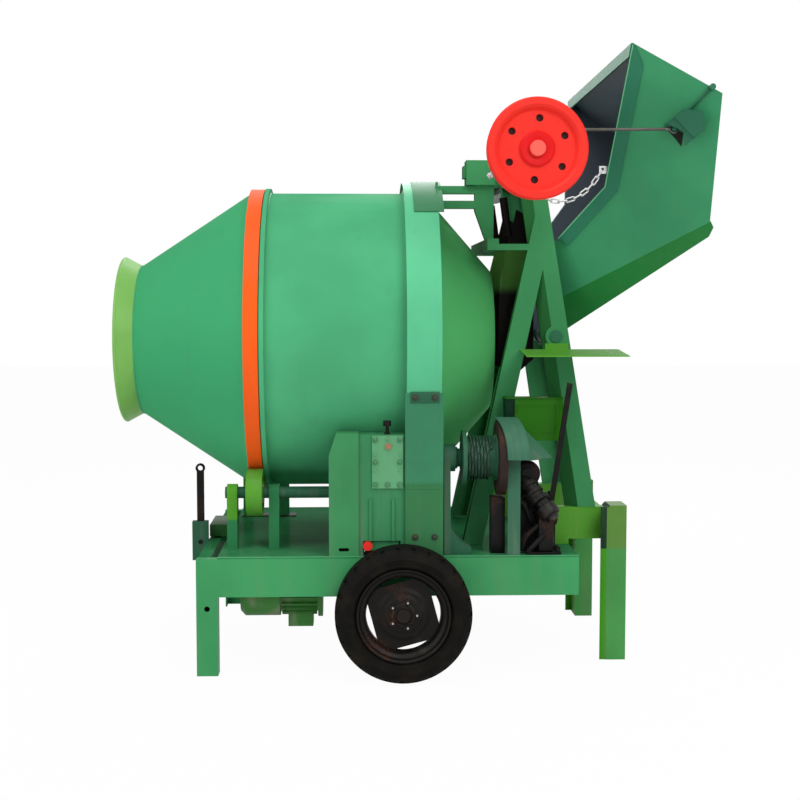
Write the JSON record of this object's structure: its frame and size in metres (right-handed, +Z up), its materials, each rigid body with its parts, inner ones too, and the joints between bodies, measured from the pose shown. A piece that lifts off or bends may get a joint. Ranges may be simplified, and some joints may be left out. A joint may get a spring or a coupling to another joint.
{
  "type": "concrete mixer",
  "caption": "Wheeled concrete mixer: a ring-geared drum turns on rollers, a rope hoist tips the feed hopper into it, and mixed concrete leaves at the flared collar.",
  "frame": {"origin": "on the ground under the middle of the overall box", "axes": "+X from the drum's discharge collar to the feed hopper, along the drum's axis; +Y away from the operator's side; +Z up"},
  "size_m": [2.874, 2.0862, 2.9398],
  "materials": {
    "green_paint": "gloss enamel",
    "lime_paint": "gloss enamel",
    "drum_paint": "gloss enamel",
    "dark_paint": "enamel",
    "black_paint": "worn enamel",
    "orange_paint": "gloss enamel",
    "red_paint": "gloss enamel",
    "tyre": "moulded",
    "rubber_belt": "matt",
    "gear_iron": "machined, greased",
    "steel": "bare"
  },
  "bodies": {
    "frame": {"side_beams": "green_paint", "cross_beams": "green_paint", "deck_plate": "green_paint", "front_legs": "green_paint", "rear_legs": "lime_paint", "rear_beams": "lime_paint", "axle_beam": "black_paint", "drawbar_bracket": "dark_paint", "roller_pedestals": "lime_paint", "gearbox_case": "green_paint", "gearbox_cover": "green_paint", "oil_plugs": "red_paint", "belt_guard": "green_paint", "drive_belts": "rubber_belt", "motor": "green_paint", "ring_guard_band": "drum_paint", "ring_guard_columns": "green_paint", "near_a_frame": "green_paint", "far_a_frame": "green_paint", "tower_tie": "green_paint", "hoist_bearings": "green_paint", "feed_chute": "black_paint", "shelf_plate": "lime_paint", "control_box": "lime_paint", "winch_stand": "dark_paint", "winch_guard": "dark_paint", "clutch_pedestal": "black_paint"},
    "drum": {"drum_shell": "drum_paint", "discharge_collar": "lime_paint", "front_riding_ring": "orange_paint", "rear_riding_ring": "gear_iron", "ring_gear": "gear_iron", "mixing_blades": "steel"},
    "near_roller": {"near_roller_shaft": "dark_paint", "near_rollers": "lime_paint"},
    "far_roller": {"far_roller_shaft": "dark_paint", "far_rollers": "lime_paint"},
    "drive": {"drive_shaft": "steel", "drive_pinion": "gear_iron"},
    "gearbox_input": {"input_pulley": "black_paint"},
    "motor_rotor": {"motor_pulley": "black_paint"},
    "hopper": {"hopper_shell": "green_paint", "hopper_rim": "dark_paint", "hopper_fittings": "dark_paint", "hopper_chain": "steel"},
    "hoist": {"hoist_shaft": "steel", "hoist_wheel": "red_paint"},
    "rope_guide": {"rope_guides": "steel"},
    "rope_middle": {"rope_middle_runs": "steel"},
    "rope_lower": {"rope_lower_runs": "steel"},
    "winch": {"rope_drum": "dark_paint", "winch_rope": "steel", "brake_drum": "gear_iron"},
    "near_wheel": {"near_tyre": "tyre", "near_rim": "black_paint"},
    "far_wheel": {"far_tyre": "tyre", "far_rim": "black_paint"},
    "drawbar": {"drawbar": "black_paint"},
    "clutch_lever": {"clutch_lever": "black_paint"},
    "dipstick": {"dipstick": "black_paint"}
  },
  "joints": [
    {"name": "drum_spin", "type": "hinge", "parent": "frame", "child": "drum", "pos_m": [-0.037, 0, 1.572], "axis": [1, 0, 0], "continuous": true},
    {"name": "near_roller_spin", "type": "hinge", "parent": "frame", "child": "near_roller", "pos_m": [-0.037, -0.50427, 0.83828], "axis": [1, 0, 0], "continuous": true},
    {"name": "far_roller_spin", "type": "hinge", "parent": "frame", "child": "far_roller", "pos_m": [-0.037, 0.50427, 0.83828], "axis": [1, 0, 0], "continuous": true},
    {"name": "drive_spin", "type": "hinge", "parent": "frame", "child": "drive", "pos_m": [0.113, -0.66, 1.02376], "axis": [1, 0, 0], "continuous": true},
    {"name": "input_spin", "type": "hinge", "parent": "frame", "child": "gearbox_input", "pos_m": [-0.307, -0.665, 0.8], "axis": [1, 0, 0], "continuous": true},
    {"name": "motor_spin", "type": "hinge", "parent": "frame", "child": "motor_rotor", "pos_m": [-0.307, -0.6, 0.375], "axis": [1, 0, 0], "continuous": true},
    {"name": "hopper_tilt", "type": "hinge", "parent": "frame", "child": "hopper", "pos_m": [0.743, 0, 1.6], "axis": [0, 1, 0], "range_deg": [0, 95]},
    {"name": "hoist_spin", "type": "hinge", "parent": "frame", "child": "hoist", "pos_m": [0.572, 0, 2.455], "axis": [0, 1, 0], "range_deg": [-5, 760]},
    {"name": "rope_swing", "type": "hinge", "parent": "frame", "child": "rope_guide", "pos_m": [0.572, 0, 2.455], "axis": [0, 1, 0], "range_deg": [-1, 57.14]},
    {"name": "rope_middle_pay", "type": "slide", "parent": "rope_guide", "child": "rope_middle", "axis": [0.9999, 0, 0.012], "range_m": [-0.005, 0.5707]},
    {"name": "rope_lower_pay", "type": "slide", "parent": "rope_middle", "child": "rope_lower", "axis": [0.9999, 0, 0.012], "range_m": [-0.005, 0.5707]},
    {"name": "winch_spin", "type": "hinge", "parent": "frame", "child": "winch", "pos_m": [0.363, -0.66, 1.02376], "axis": [1, 0, 0], "range_deg": [-5, 1720]},
    {"name": "near_wheel_spin", "type": "hinge", "parent": "frame", "child": "near_wheel", "pos_m": [-0.025, -0.895, 0.321], "axis": [0, 1, 0], "continuous": true},
    {"name": "far_wheel_spin", "type": "hinge", "parent": "frame", "child": "far_wheel", "pos_m": [-0.025, 0.895, 0.321], "axis": [0, 1, 0], "continuous": true},
    {"name": "drawbar_fold", "type": "hinge", "parent": "frame", "child": "drawbar", "pos_m": [-1.037, -0.2, 0.545], "axis": [0, 1, 0], "range_deg": [-90, 0]},
    {"name": "clutch_lever_swing", "type": "hinge", "parent": "frame", "child": "clutch_lever", "pos_m": [0.687, -0.6, 0.722], "axis": [0, 1, 0], "range_deg": [0, 20]},
    {"name": "dipstick_pull", "type": "slide", "parent": "frame", "child": "dipstick", "axis": [0, 0, 1], "range_m": [0, 0.1]}
  ],
  "couplings": [
    {"joint": "near_roller_spin", "follows": "drum_spin", "ratio": -6.7391},
    {"joint": "far_roller_spin", "follows": "drum_spin", "ratio": -6.7391},
    {"joint": "drive_spin", "follows": "drum_spin", "ratio": -10},
    {"joint": "input_spin", "follows": "drum_spin", "ratio": 50},
    {"joint": "motor_spin", "follows": "drum_spin", "ratio": 100},
    {"joint": "hoist_spin", "follows": "hopper_tilt", "ratio": 7.8},
    {"joint": "winch_spin", "follows": "hopper_tilt", "ratio": 17.9},
    {"joint": "rope_swing", "follows": "hopper_tilt", "ratio": 0.5909},
    {"joint": "rope_middle_pay", "follows": "hopper_tilt", "m_per_rad": 0.34118},
    {"joint": "rope_lower_pay", "follows": "hopper_tilt", "m_per_rad": 0.34118}
  ]
}
